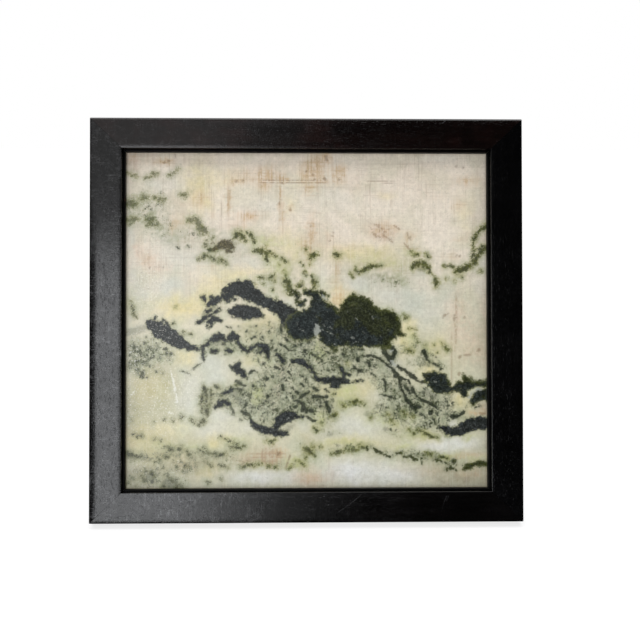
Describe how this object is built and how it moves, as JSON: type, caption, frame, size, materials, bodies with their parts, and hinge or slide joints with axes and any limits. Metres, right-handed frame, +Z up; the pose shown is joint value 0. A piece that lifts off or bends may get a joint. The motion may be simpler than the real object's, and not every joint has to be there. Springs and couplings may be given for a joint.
{
  "type": "framed stone display panel",
  "caption": "Figured stone slab in a mitred dark hardwood frame that stands by itself on a hinged wooden strut, with ring hangers at the back.",
  "frame": {"origin": "middle of the standing footprint, on the surface that the part stands on, with the strut open", "axes": "+Z up, +Y towards the back, where the strut is, +X to the viewer's right; the front looks towards -Y and leans back 12 degrees"},
  "size_m": [0.434, 0.1864, 0.4019],
  "materials": {
    "dark_hardwood": "waxed satin, near black",
    "slip_wood": "black stained, dull",
    "key_wood": "raw hardwood",
    "block_softwood": "raw softwood",
    "figured_stone": "polished, cream with green-black figure",
    "board_wood": "oiled board",
    "aged_brass": "aged, satin"
  },
  "bodies": {
    "frame": {"top_rail": "dark_hardwood", "bottom_rail": "dark_hardwood", "left_stile": "dark_hardwood", "right_stile": "dark_hardwood", "corner_key_tl": "key_wood", "corner_key_tr": "key_wood", "corner_key_bl": "key_wood", "corner_key_br": "key_wood", "inner_slip_top": "slip_wood", "inner_slip_bottom": "slip_wood", "inner_slip_left": "slip_wood", "inner_slip_right": "slip_wood", "stone_panel": "figured_stone", "setting_block_left": "block_softwood", "setting_block_right": "block_softwood", "back_board": "board_wood", "upper_batten": "dark_hardwood", "lower_batten": "dark_hardwood", "hinge_leaf_fixed": "aged_brass", "hinge_pin": "aged_brass", "hinge_screw_fixed_1": "aged_brass", "hinge_screw_fixed_2": "aged_brass", "hinge_screw_fixed_3": "aged_brass", "batten_screw_upper_left_a": "aged_brass", "batten_screw_upper_left_b": "aged_brass", "batten_screw_upper_right_a": "aged_brass", "batten_screw_upper_right_b": "aged_brass", "batten_screw_lower_left_a": "aged_brass", "batten_screw_lower_left_b": "aged_brass", "batten_screw_lower_right_a": "aged_brass", "batten_screw_lower_right_b": "aged_brass", "hanger_plate_left": "aged_brass", "hanger_screw_left_a": "aged_brass", "hanger_screw_left_b": "aged_brass", "hanger_plate_right": "aged_brass", "hanger_screw_right_a": "aged_brass", "hanger_screw_right_b": "aged_brass"},
    "strut": {"strut": "dark_hardwood", "hinge_leaf_strut": "aged_brass", "hinge_screw_strut_1": "aged_brass", "hinge_screw_strut_2": "aged_brass", "hinge_screw_strut_3": "aged_brass"},
    "ring_left": {"hanger_ring_left": "aged_brass"},
    "ring_right": {"hanger_ring_right": "aged_brass"}
  },
  "joints": [
    {"name": "strut_hinge", "type": "hinge", "parent": "frame", "child": "strut", "pos_m": [0, 0.01247, 0.2821], "axis": [1, 0, 0], "range_deg": [-26, 0]},
    {"name": "ring_left_swing", "type": "hinge", "parent": "frame", "child": "ring_left", "pos_m": [-0.203, 0.01162, 0.34158], "axis": [1, 0, 0], "range_deg": [-16, 150]},
    {"name": "ring_right_swing", "type": "hinge", "parent": "frame", "child": "ring_right", "pos_m": [0.203, 0.01162, 0.34158], "axis": [1, 0, 0], "range_deg": [-16, 150]}
  ]
}
